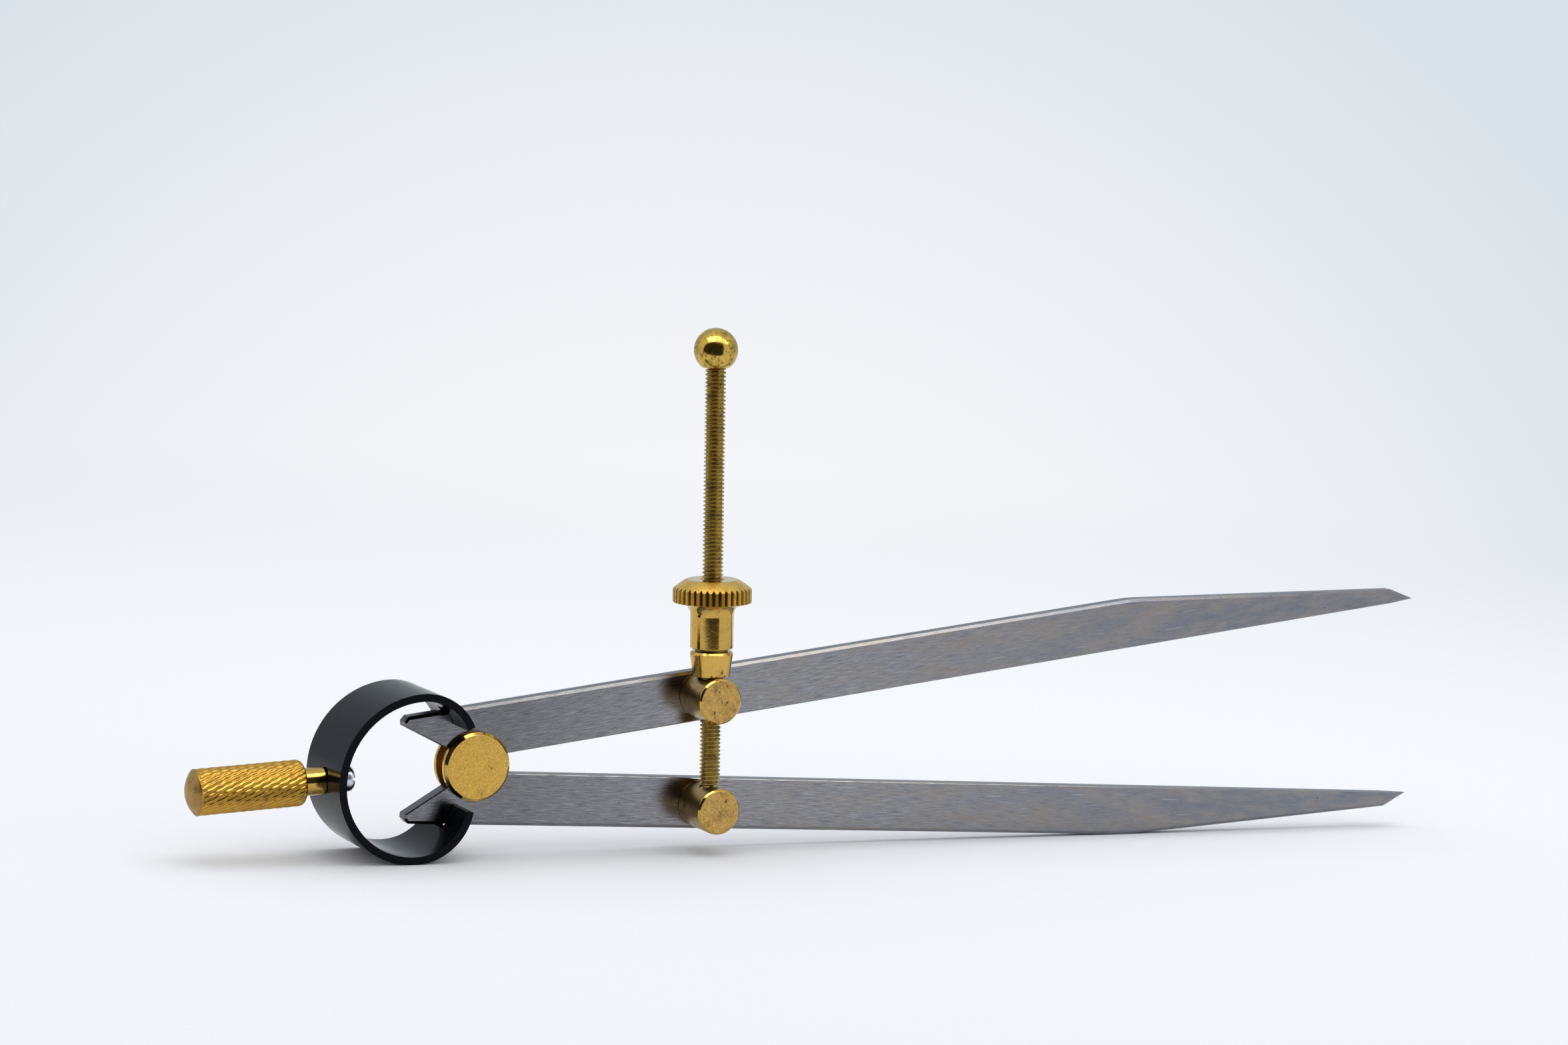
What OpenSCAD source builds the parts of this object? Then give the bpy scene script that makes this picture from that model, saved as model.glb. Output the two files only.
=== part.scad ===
// Spring divider: two steel legs on a brass fulcrum roller, spread by a bow spring
// and held by a threaded rod and knurled nut. X runs towards the points, Y away from
// the front face, Z up. It stands on the bow and on the lower leg's belly.

/* [Pose] */
// Angle between the two legs as they stand
opening_angle = 11.14; // [2:0.01:40]
// Rise of the line midway between the legs
stand_lean = 2.93; // [-5:0.01:10]
// Turn of the bow's own axis against that midway line
bow_lean = 1.17; // [-3:0.01:3]

/* [Legs] */
// Fulcrum axis to point
leg_length = 200; // [160:1:250]
// Width of the leg bar
leg_width = 9.15; // [7:0.05:12]
// Thickness of the leg bar
leg_thickness = 2.8; // [2:0.1:4]
// Gap left between inner edge and the fulcrum-to-point line, at the fulcrum
inner_offset = 1.25; // [0.5:0.05:2]
// Fulcrum axis to the belly, where the leg starts to taper
belly_at = 135; // [100:1:150]
// Radius that softens the belly
belly_round = 45; // [5:1:80]
// Height of the leg where the point's bevel starts
point_height = 2.7; // [1.5:0.1:4]
// Length of the point's bevel
point_length = 5.6; // [3:0.1:10]
// Thickness left at the point
point_thickness = 0.5; // [0.3:0.05:1]
// Length of the tail behind the fulcrum axis
tail_length = 12; // [9:0.1:16]
// Height of the tail's end
tail_height = 1.65; // [1:0.05:3]
// Depth of the notch that keeps the bow in place
notch_depth = 0.5; // [0.2:0.05:1]
// Size of the broken edges
edge_break = 0.25; // [0.1:0.05:0.5]

/* [Fulcrum roller] */
// Radius of the barrel the legs turn on
roller_r = 4; // [3:0.1:5]
// Radius of the two flanges
flange_r = 6.1; // [5:0.1:8]
// Thickness of the front flange
front_flange = 1.45; // [1:0.05:3]
// Thickness of the rear flange
rear_flange = 1.05; // [0.6:0.05:3]
// Chamfer round the front flange
flange_chamfer = 0.5; // [0.2:0.05:1]

/* [Bow spring] */
// Thickness of the spring strip
band_thickness = 1.35; // [1:0.05:1.6]
// Width of the spring strip
band_width = 16.4; // [12:0.1:20]
// Fulcrum axis to the inside of the bow's back
bow_back = 25.92; // [25.5:0.01:26.5]
// Drop of the bow's back below the fulcrum axis
back_drop = 0.72; // [0.3:0.01:1.2]
// Inside radius of the quarter bend that rises from the back
upper_back_r = 14; // [13.7:0.05:14.3]
// Inside radius of the upper arm
upper_arm_r = 8.65; // [8.4:0.05:9]
// Height angle at which the upper arm ends
upper_arm_end = 20; // [16:0.5:26]
// Inside radius of the quarter bend that falls from the back
lower_back_r = 12.7; // [12.4:0.05:13]
// Inside radius of the lower arm
lower_arm_r = 9.1; // [8.8:0.05:9.4]
// Depth angle at which the lower arm ends
lower_arm_end = 13; // [9:0.5:20]
// Room between the leg's edge and the root of the slot
slot_room = 0.75; // [0.7:0.05:1]

/* [Handle] */
// Radius of the grip
grip_r = 3.98; // [3:0.02:6]
// Fulcrum axis to the grip's front end
grip_front = 31.05; // [29.2:0.05:40]
// Length of the grip with its domed end
grip_length = 20.35; // [15:0.05:40]
// Height of the grip's dome
dome_height = 1.55; // [1:0.05:3]
// Radius of the plain neck
neck_r = 2.4; // [2:0.05:3.5]
// Drop of the handle's axis below the fulcrum axis
handle_drop = 0.3; // [0:0.05:0.6]
// Radius of the screw that holds the handle
handle_screw_r = 1.25; // [1:0.05:1.5]

/* [Studs] */
// Fulcrum axis to stud axis, along the leg
stud_along = 43.9; // [30:0.1:60]
// Stud axis to the fulcrum-to-point line
stud_off = 5.64; // [4.5:0.01:6.5]
// Radius of the stud's head
stud_r = 4.08; // [3.4:0.01:5]
// Length of the stud's head
stud_length = 8.4; // [7:0.1:10]
// Leg face to the adjusting screw's axis
screw_front = 4.24; // [4.1:0.01:5]
// Radius of the journal that turns in the leg
journal_r = 2; // [1.5:0.1:2.5]

/* [Adjusting screw] */
// Outside radius of the thread
thread_r = 1.85; // [1.5:0.01:1.9]
// Pitch of the thread
thread_pitch = 0.7; // [0.5:0.05:0.9]
// Lower stud's axis to the ball's centre
ball_at = 81.5; // [60:0.5:100]
// Radius of the ball
ball_r = 3.9; // [3:0.1:5]

/* [Nut] */
// Radius over the teeth
nut_r = 6.97; // [6:0.01:8]
// Number of teeth round the nut
nut_teeth = 38; // [24:1:50]
// Depth of the teeth
tooth_depth = 0.5; // [0.2:0.05:0.6]
// Radius of the nut's plain barrel
nut_barrel_r = 3.84; // [3:0.01:4]
// Upper stud's axis to the top of the nut
nut_top = 21.3; // [19:0.1:24]

/* [Hidden] */
$fn = 96;

// Fits and small gaps
running = 0.05;
free = 0.25;
cut = 0.1;
far = 60;

// Poses of the three groups about the fulcrum axis
upper_angle = stand_lean + opening_angle / 2;
lower_angle = stand_lean - opening_angle / 2;
bow_angle = stand_lean + bow_lean;
screw_y = -leg_thickness / 2 - screw_front;

// Legs
face_y = leg_thickness / 2;
seat_r = roller_r + running;
tail_root = 2.5;
tail_root_height = 2.3;
corner_break = 0.8;
notch_from = -5.4;
notch_to = -2.3;

// Bow
bow_inside = -bow_back;
bow_outside = -bow_back - band_thickness;

// Handle
grip_end = -grip_front - grip_length;
dome_r = (pow(grip_r, 2) + pow(dome_height, 2)) / (2 * dome_height);
grip_round = 0.9;
handle_screw_depth = 9;
head_r = 2.3;
head_height = 2.9;
washer_sag = 0.33;
washer_lip = 0.15;
washer_thickness = 0.8;

// Studs
stud_chamfer = 0.5;
stud_washer = 0.6;
peen_r = 2.8;
peen_height = 0.8;
screw_hole_r = 2.3;
spigot_r = 1.8;
spigot_depth = 2.8;
press = 0.02;

// Screw, ball and nut
thread_depth = 0.61 * thread_pitch;
thread_root = thread_r - thread_depth;
crest = 0.3;
ball_flat = 3.06;
ball_spigot_r = 1.3;
ball_spigot = 2.6;
thread_from = 3.9;
thread_to = ball_at - ball_flat;
thread_turns = floor((thread_to - thread_from) / thread_pitch);
nut_bore_r = thread_r + running;
tooth_over = 0.35;
rim_height = 2.35;
rim_drop = 1.7;
dome_bulge = 0.15;
nut_top_r = 4.5;
nut_rim_top = nut_top - rim_drop;
nut_rim_low = nut_rim_top - rim_height;
nut_fillet = 2.1;
nut_low = 9.1;
nose_r = 2.9;
nose_length = 0.5;
seat_top = nut_low - nose_length - running;
seat_low = stud_r + press;
seat_top_r = 3.88;
seat_low_r = 3.28;
arc_steps = 8;

// Where the fulcrum axis stands, so that the whole stands centred over the origin
left_reach = (-grip_end - dome_r) * cos(bow_angle) - handle_drop * sin(bow_angle) + dome_r;
right_reach = leg_length * cos(lower_angle);
front_reach = -screw_y + nut_r;
rear_reach = band_width / 2;
fulcrum_x = (left_reach - right_reach) / 2;
fulcrum_y = (front_reach - rear_reach) / 2;
fulcrum_z = lower_back_r + band_thickness + (bow_back - lower_back_r) * sin(bow_angle)
    + back_drop * cos(bow_angle);

// Colours
steel = "#6e7379";
brass = "#b48c35";
black_oxide = "#2c2f34";
zinc = "#c8ccd0";

// Turns children about the fulcrum axis and stands them in place
module about_fulcrum(angle) {
    translate([fulcrum_x, fulcrum_y, fulcrum_z]) rotate([0, -angle, 0]) children();
}

// Lays a flat outline in the X-Z plane with its thickness along Y
module slab(thickness) {
    rotate([90, 0, 0]) linear_extrude(thickness, center = true) children();
}

// Turns a profile of [radius, height] points about the Y axis, heights towards the rear
module turned(points) {
    rotate([-90, 0, 0]) rotate_extrude() polygon(points);
}

// Places children at the lower stud's axis, Z along the adjusting screw
module at_lower_stud() {
    about_fulcrum(lower_angle) translate([stud_along, 0, -stud_off])
        rotate([0, lower_angle - stand_lean, 0]) children();
}

// Places children at the upper stud's axis, Z along the adjusting screw
module at_upper_stud() {
    about_fulcrum(upper_angle) translate([stud_along, 0, stud_off])
        rotate([0, upper_angle - stand_lean, 0]) children();
}

// Height of a leg's inner and outer edge at a distance along it
function inner_edge(along) = inner_offset * (1 - along / leg_length);
function outer_edge(along) = inner_edge(along) + leg_width;

// Outline of a leg: point, bevel, taper, belly, tail and V-cut
function leg_outline() = let (
    bevel = [leg_length - point_length, point_height],
    belly = [belly_at, outer_edge(belly_at)],
    taper = (belly - bevel) / norm(belly - bevel),
    bar = [-leg_length, inner_offset] / norm([leg_length, inner_offset]),
    turn = acos(taper * bar),
    reach = belly_round * tan(turn / 2),
    start = belly - taper * reach,
    square = [-taper.y, taper.x],
    centre = start + square * belly_round
) concat(
    [[leg_length, 0], bevel],
    [for (i = [0:arc_steps]) let (a = turn * i / arc_steps)
        centre - belly_round * (square * cos(a) - taper * sin(a))],
    [[-tail_length + corner_break, outer_edge(-tail_length)],
     [-tail_length, outer_edge(-tail_length) - corner_break],
     [-tail_length, outer_edge(-tail_length) - tail_height],
     [-tail_root, tail_root_height],
     [tail_root, inner_edge(tail_root)]]);

// Cuts one long edge at 45 degrees, on the front and on the rear face
module break_edge(from, to) {
    run = to - from;
    for (side = [-1, 1])
        translate([from.x, side * face_y, from.y]) rotate([0, -atan2(run.y, run.x), 0])
            rotate([45, 0, 0])
                cube([2 * norm(run), sqrt(2) * edge_break, sqrt(2) * edge_break], center = true);
}

// Grinds the two faces down towards the point
module point_faces() {
    slope = atan2((leg_thickness - point_thickness) / 2, point_length);
    for (side = [-1, 1])
        translate([leg_length - point_length, side * face_y, 0]) rotate([0, 0, -side * slope])
            translate([-1, side > 0 ? 0 : -far, -far / 2]) cube([far, far, far]);
}

// One leg in its own frame, outer edge up: bar, roller seat, stud hole and bow notch
module leg() {
    difference() {
        slab(leg_thickness) polygon(leg_outline());
        rotate([90, 0, 0]) cylinder(r = seat_r, h = 2 * leg_thickness, center = true);
        translate([stud_along, 0, stud_off]) rotate([90, 0, 0])
            cylinder(r = journal_r + running, h = 2 * leg_thickness, center = true);
        translate([notch_from, -leg_thickness, outer_edge(0) - notch_depth])
            cube([notch_to - notch_from, 2 * leg_thickness, 2 * notch_depth]);
        break_edge([0, outer_edge(0)], [belly_at, outer_edge(belly_at)]);
        break_edge([leg_length, 0], [0, inner_offset]);
        point_faces();
    }
}

// Lower leg: ground flat steel bar, pointing down towards the floor
module lower_leg() {
    color(steel) about_fulcrum(lower_angle) mirror([0, 0, 1]) leg();
}

// Upper leg: the lower leg's mirror image
module upper_leg() {
    color(steel) about_fulcrum(upper_angle) leg();
}

// Fulcrum roller: turned brass spool, its flanges outside the two legs
module fulcrum_roller() {
    front = -face_y - running;
    rear = face_y + running;
    color(brass) about_fulcrum(stand_lean) turned([
        [0, front - front_flange], [flange_r - flange_chamfer, front - front_flange],
        [flange_r, front - front_flange + flange_chamfer], [flange_r, front],
        [roller_r, front], [roller_r, rear], [flange_r, rear],
        [flange_r, rear + rear_flange], [0, rear + rear_flange]]);
}

// One arc of the spring strip, angles counted from +X towards +Z
module band_arc(centre, inside, from, to) {
    translate([centre.x, 0, centre.y]) rotate([90, 0, 0]) rotate([0, 0, from])
        rotate_extrude(angle = to - from)
            translate([inside, -band_width / 2]) square([band_thickness, band_width]);
}

// Lower half of a bow: a quarter bend down from its back, then a tighter arm with a slot
module half_bow(back_r, arm_r, arm_end, drop, leg_turn) {
    difference() {
        union() {
            band_arc([back_r - bow_back, -drop], back_r, 180, 270);
            band_arc([back_r - bow_back, arm_r - back_r - drop], arm_r, 270, 360 - arm_end);
        }
        rotate([0, leg_turn, 0])
            translate([-tail_length, -face_y - free, -outer_edge(0) - slot_room])
                cube([2 * tail_length, leg_thickness + 2 * free, outer_edge(0) + slot_room]);
    }
}

// Bow spring: bent from strip, forked at both ends to straddle the legs
module bow_spring() {
    color(black_oxide) about_fulcrum(bow_angle) difference() {
        union() {
            half_bow(lower_back_r, lower_arm_r, lower_arm_end, back_drop, bow_angle - lower_angle);
            mirror([0, 0, 1])
                half_bow(upper_back_r, upper_arm_r, upper_arm_end, -back_drop, upper_angle - bow_angle);
        }
        translate([bow_outside - cut, 0, -handle_drop]) rotate([0, 90, 0])
            cylinder(r = handle_screw_r + running, h = 3 * band_thickness);
    }
}

// Profile of the grip and neck, radius against distance from the grip's domed end
function handle_profile() = concat(
    [[0, 0], [grip_r, 0], [grip_r, grip_length - grip_round]],
    [for (i = [1:arc_steps]) let (a = 90 * i / arc_steps)
        [grip_r - grip_round * (1 - cos(a)), grip_length - grip_round * (1 - sin(a))]],
    [[neck_r, grip_length], [neck_r, -grip_end + bow_outside - press],
     [0, -grip_end + bow_outside - press]]);

// Handle: turned brass grip with a domed end, drilled for its screw
module handle() {
    color(brass) about_fulcrum(bow_angle) translate([grip_end, 0, -handle_drop])
        rotate([0, 90, 0]) difference() {
            intersection() {
                rotate_extrude() polygon(handle_profile());
                union() {
                    translate([0, 0, dome_r]) sphere(r = dome_r);
                    translate([0, 0, dome_height]) cylinder(r = 2 * grip_r, h = far);
                }
            }
            translate([0, 0, -grip_end + bow_outside - handle_screw_depth - free])
                cylinder(r = handle_screw_r + press, h = far);
        }
}

// Handle screw: plated pan-head screw, driven from inside the bow
module handle_screw() {
    under_head = bow_inside + washer_sag + washer_thickness + press;
    head_round = 1.1;
    color(zinc) about_fulcrum(bow_angle) translate([under_head, 0, -handle_drop])
        rotate([0, 90, 0]) {
        rotate_extrude() polygon(concat(
            [[0, 0], [head_r, 0], [head_r, head_height - head_round]],
            [for (i = [1:arc_steps]) let (a = 90 * i / arc_steps)
                [head_r - head_round * (1 - cos(a)), head_height - head_round * (1 - sin(a))]],
            [[0, head_height]]));
        translate([0, 0, bow_outside - handle_screw_depth - under_head])
            cylinder(r = handle_screw_r, h = under_head - bow_outside + handle_screw_depth + cut);
    }
}

// Handle washer: plain ring under the screw's head
module handle_washer() {
    color(zinc) about_fulcrum(bow_angle) translate([bow_inside + washer_sag, 0, -handle_drop])
        rotate([0, 90, 0]) difference() {
            cylinder(r = head_r + washer_lip, h = washer_thickness);
            translate([0, 0, -cut])
                cylinder(r = handle_screw_r + running, h = washer_thickness + 2 * cut);
        }
}

// Swivel stud: head in front of the leg, journal through it, end peened over behind
module stud_body() {
    front = -face_y - running;
    rear = face_y + 2 * running + stud_washer;
    turned([
        [0, front - stud_length], [stud_r - stud_chamfer, front - stud_length],
        [stud_r, front - stud_length + stud_chamfer], [stud_r, front], [journal_r, front],
        [journal_r, rear + running], [peen_r, rear + running],
        [peen_r - peen_height / 2, rear + running + peen_height],
        [0, rear + running + peen_height]]);
}

// Washer between leg and peened end
module stud_washer() {
    inner = journal_r + running;
    outer = peen_r + 2 * free;
    near = face_y + running;
    turned([[inner, near], [outer, near], [outer, near + stud_washer], [inner, near + stud_washer]]);
}

// Lower stud: drilled part way for the foot of the adjusting screw
module lower_stud() {
    color(brass) at_lower_stud() difference() {
        stud_body();
        translate([0, screw_y, -spigot_depth - press])
            cylinder(r = spigot_r + press, h = far);
    }
}

// Upper stud: drilled through with room for the adjusting screw
module upper_stud() {
    color(brass) at_upper_stud() difference() {
        stud_body();
        translate([0, screw_y, 0]) cylinder(r = screw_hole_r, h = far, center = true);
    }
}

// Lower stud washer: thin steel ring behind the lower leg
module lower_stud_washer() {
    color(steel) at_lower_stud() stud_washer();
}

// Upper stud washer: thin steel ring behind the upper leg
module upper_stud_washer() {
    color(steel) at_upper_stud() stud_washer();
}

// Adjusting screw: brass rod, plain foot in the lower stud, thread, spigot in the ball
module adjusting_screw() {
    color(brass) at_lower_stud() translate([0, screw_y, 0]) rotate_extrude() polygon(concat(
        [[0, -spigot_depth], [spigot_r, -spigot_depth], [spigot_r, thread_from]],
        [for (i = [0:thread_turns - 1]) let (low = thread_from + i * thread_pitch)
            each [[thread_root, low], [thread_r, low + (1 - crest) / 2 * thread_pitch],
                  [thread_r, low + (1 + crest) / 2 * thread_pitch]]],
        [[thread_root, thread_from + thread_turns * thread_pitch], [thread_root, thread_to - press],
         [ball_spigot_r, thread_to - press], [ball_spigot_r, thread_to + ball_spigot],
         [0, thread_to + ball_spigot]]));
}

// Ball knob: turned brass ball, cut flat and drilled below
module ball_knob() {
    color(brass) at_lower_stud() translate([0, screw_y, ball_at]) difference() {
        sphere(r = ball_r);
        translate([-far / 2, -far / 2, -far - ball_flat]) cube(far);
        translate([0, 0, -ball_flat - cut])
            cylinder(r = ball_spigot_r + press, h = ball_spigot + 2 * cut);
    }
}

// Profile of the nut: nose, plain barrel, hollow fillet, rim, bulging cone and flat top
function nut_profile() = concat(
    [[nut_bore_r, nut_low - nose_length], [nose_r, nut_low - nose_length], [nose_r, nut_low],
     [nut_barrel_r, nut_low], [nut_barrel_r, nut_rim_low - nut_fillet]],
    [for (i = [1:arc_steps]) let (a = 90 * i / arc_steps)
        [nut_barrel_r + nut_fillet * (1 - cos(a)), nut_rim_low - nut_fillet * (1 - sin(a))]],
    [[nut_r, nut_rim_low]],
    [for (i = [0:arc_steps]) let (share = i / arc_steps)
        [nut_r + (nut_top_r - nut_r) * share,
         nut_rim_top + rim_drop * share + dome_bulge * sin(180 * share)]],
    [[nut_bore_r, nut_top]]);

// Adjusting nut: turned brass, V teeth cut round its rim
module adjusting_nut() {
    step = 360 / nut_teeth;
    color(brass) at_upper_stud() translate([0, screw_y, 0]) intersection() {
        rotate_extrude() polygon(nut_profile());
        rotate([0, 0, -90]) linear_extrude(far) polygon([for (i = [0:2 * nut_teeth - 1])
            (i % 2 == 0 ? nut_r + tooth_over : nut_r - tooth_depth)
                * [cos(i * step / 2), sin(i * step / 2)]]);
    }
}

// Nut seat: loose tapered brass collar between nut and upper stud
module nut_seat() {
    color(brass) at_upper_stud() translate([0, screw_y, 0]) rotate_extrude() polygon([
        [screw_hole_r, seat_low], [seat_low_r, seat_low], [seat_top_r, seat_top - edge_break],
        [seat_top_r - edge_break, seat_top], [screw_hole_r, seat_top]]);
}

lower_leg();
upper_leg();
fulcrum_roller();
bow_spring();
handle();
handle_screw();
handle_washer();
lower_stud();
upper_stud();
lower_stud_washer();
upper_stud_washer();
adjusting_screw();
ball_knob();
adjusting_nut();
nut_seat();
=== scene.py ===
import math

import bmesh
import bpy
from mathutils import Matrix, Vector


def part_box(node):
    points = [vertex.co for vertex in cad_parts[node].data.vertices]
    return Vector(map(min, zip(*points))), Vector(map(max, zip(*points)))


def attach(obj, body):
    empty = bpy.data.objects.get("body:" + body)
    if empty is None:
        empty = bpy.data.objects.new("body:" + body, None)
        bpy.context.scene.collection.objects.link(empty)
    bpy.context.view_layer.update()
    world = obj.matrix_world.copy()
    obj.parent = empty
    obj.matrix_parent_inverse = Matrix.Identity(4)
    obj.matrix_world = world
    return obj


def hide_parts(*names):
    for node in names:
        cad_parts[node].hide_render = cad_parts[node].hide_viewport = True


# Spring divider: ground steel legs on a brass fulcrum, a black bow spring, and a brass screw and nut.
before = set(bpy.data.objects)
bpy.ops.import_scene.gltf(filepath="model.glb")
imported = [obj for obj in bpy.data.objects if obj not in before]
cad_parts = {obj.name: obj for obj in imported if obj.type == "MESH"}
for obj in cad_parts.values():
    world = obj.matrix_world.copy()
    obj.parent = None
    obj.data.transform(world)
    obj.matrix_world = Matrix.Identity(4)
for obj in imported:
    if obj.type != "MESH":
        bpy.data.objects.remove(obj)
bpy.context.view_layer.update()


# Legs: two flat bars of tool steel, ground to outline and drawn along a belt, so that fine marks
# run from tail to point. Each has a half-round seat on the fulcrum, a notch for the bow and a hole
# for its stud. The long edges are ground to a flat chamfer, and the points are ground thin.
mm = 0.001
leg_length = 200.0
leg_width = 9.15
leg_thickness = 2.8
inner_offset = 1.25
belly_at = 135.0
belly_round = 45.0
belly_steps = 12
point_height = 2.7
point_length = 5.6
point_thickness = 0.5
tail_length = 12.0
tail_height = 1.65
tail_corner = 0.8
tail_aim = Vector((-2.5, 2.3))
seat_r = 4.05
seat_steps = 24
notch_from = -5.4
notch_to = -2.3
notch_depth = 0.12
stud_along = 43.9
stud_off = 5.64
journal_r = 2.0
journal_gap = 0.05
hole_facets = 48
chamfer_face = 0.55
chamfer_side = 0.33
edge_turn = 0.25
edge_round = 0.05
upper_angle = 8.5
lower_angle = -2.64
fulcrum = (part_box("fulcrum_roller")[0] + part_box("fulcrum_roller")[1]) / 2
fulcrum.y = (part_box("upper_leg")[0].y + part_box("upper_leg")[1].y) / 2


def linear(shade):
    """Linear colour of an sRGB hex value."""
    parts = [int(shade[k:k + 2], 16) / 255 for k in (1, 3, 5)]
    return [c / 12.92 if c <= 0.04045 else ((c + 0.055) / 1.055) ** 2.4 for c in parts] + [1.0]


def add(tree, kind, links=(), **settings):
    """Adds a node, sets its properties, and feeds its sockets, by name or in their order, with values,
    with outputs, or with other nodes, of which the first output is taken."""
    node = tree.nodes.new(kind)
    for key, value in settings.items():
        setattr(node, key, value)
    for socket, value in links.items() if isinstance(links, dict) else enumerate(links):
        if isinstance(value, bpy.types.Node):
            value = value.outputs[0]
        if isinstance(value, bpy.types.NodeSocket):
            tree.links.new(value, node.inputs[socket])
        else:
            node.inputs[socket].default_value = value
    return node


def blank_material(name):
    """A new material and its empty node tree."""
    material = bpy.data.materials.new(name)
    material.use_nodes = True
    material.node_tree.nodes.clear()
    return material, material.node_tree


def about_fulcrum(angle):
    """Place of a part drawn in millimetres about the fulcrum axis and leaning by an angle."""
    return Matrix.Translation(fulcrum) @ Matrix.Rotation(math.radians(-angle), 4, "Y") @ Matrix.Scale(mm, 4)


def as_mesh(bm, name):
    """Smooth-shaded mesh of a shape in millimetres, its faces turned outwards."""
    bmesh.ops.recalc_face_normals(bm, faces=bm.faces)
    mesh = bpy.data.meshes.new(name)
    bm.to_mesh(mesh)
    bm.free()
    mesh.polygons.foreach_set("use_smooth", [True] * len(mesh.polygons))
    return mesh


def on_bench(data, name):
    """A new object in the scene for a mesh, a lamp or a camera."""
    obj = bpy.data.objects.new(name, data)
    bpy.context.scene.collection.objects.link(obj)
    return obj


def break_edges(obj, turn, width, segments):
    """Rounds the edges of a working object where its faces turn by more than an angle."""
    bevel = obj.modifiers.new("broken edges", "BEVEL")
    bevel.limit_method = "ANGLE"
    bevel.angle_limit = turn
    bevel.width = width
    bevel.segments = segments
    bevel.harden_normals = True


def worked(obj):
    """Plain mesh of an object with its modifiers worked in. The object and its cutters are removed."""
    bpy.context.view_layer.update()
    graph = bpy.context.evaluated_depsgraph_get()
    mesh = bpy.data.meshes.new_from_object(obj.evaluated_get(graph))
    cutters = [step.object for step in obj.modifiers if step.type == "BOOLEAN"]
    for done in [obj] + cutters:
        bpy.data.objects.remove(done)
    return mesh


def fit(name, mesh, place, materials, node, body):
    """Sets a finished mesh in its place, where it stands for its solid and moves with its body."""
    mesh.transform(place)
    finish = [face.material_index for face in mesh.polygons]
    mesh.materials.clear()
    for material in materials:
        mesh.materials.append(material)
    mesh.polygons.foreach_set("material_index", finish)
    obj = on_bench(mesh, name)
    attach(obj, body)
    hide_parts(node)


def inner_edge(along):
    """Height of a leg's inner edge over the line from fulcrum to point."""
    return inner_offset * (1 - along / leg_length)


def outer_edge(along):
    """Height of the bar's outer edge over the same line."""
    return inner_edge(along) + leg_width


def on_seat(start, end):
    """Point of a line, going from outside towards the roller, where it meets the roller's seat."""
    low, high = 0.0, 1.0
    for halving in range(40):
        half = (low + high) / 2
        if start.lerp(end, half).length > seat_r:
            low = half
        else:
            high = half
    return start.lerp(end, low)


def leg_outline():
    """Outline of a leg, each point with the share of the full chamfer on the edge that follows it."""
    tip = Vector((leg_length, 0))
    bevel = Vector((leg_length - point_length, point_height))
    belly = Vector((belly_at, outer_edge(belly_at)))
    taper = (belly - bevel).normalized()
    bar = Vector((-leg_length, inner_offset)).normalized()
    turn = taper.angle(bar)
    square = Vector((-taper.y, taper.x))
    centre = belly - taper * belly_round * math.tan(turn / 2) + square * belly_round
    points = [(tip, 0.2), (bevel, 1.0)]
    for k in range(belly_steps + 1):
        sweep = turn * k / belly_steps
        points.append((centre - belly_round * (square * math.cos(sweep) - taper * math.sin(sweep)), 1.0))
    notch_floor = outer_edge(0) - notch_depth
    tail = outer_edge(-tail_length)
    for along, height, share in (
            (stud_along, outer_edge(stud_along), 1.0), (notch_to, outer_edge(notch_to), 0.0),
            (notch_to, notch_floor, 1.0), (notch_from, notch_floor, 0.0),
            (notch_from, outer_edge(notch_from), 1.0), (tail_corner - tail_length, tail, 0.7),
            (-tail_length, tail - tail_corner, 0.5), (-tail_length, tail - tail_height, 0.4)):
        points.append((Vector((along, height)), share))
    start = on_seat(points[-1][0], tail_aim)
    end = on_seat(tip, Vector((0, inner_offset)))
    first = math.atan2(start.y, start.x)
    last = math.atan2(end.y, end.x)
    for k in range(seat_steps + 1):
        swing = first + (last - first) * k / seat_steps
        share = 0.0 if k < seat_steps else 0.3
        points.append((Vector((math.cos(swing), math.sin(swing))) * seat_r, share))
    points.append((Vector((stud_along, inner_edge(stud_along))), 0.3))
    return points


def drawn_in(points, k):
    """Shift from a point of the outline to its place inside the chamfers of the edges that meet there."""
    before, here, after = (points[(k + step) % len(points)] for step in (-1, 0, 1))
    first = (here[0] - before[0]).normalized()
    second = (after[0] - here[0]).normalized()
    first_in = chamfer_face * before[1]
    second_in = chamfer_face * here[1]
    turn = first.x * second.y - first.y * second.x
    if abs(turn) < 0.02:
        return Vector((-first.y, first.x)) * max(first_in, second_in)
    return (second * first_in - first * second_in) / turn


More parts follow.
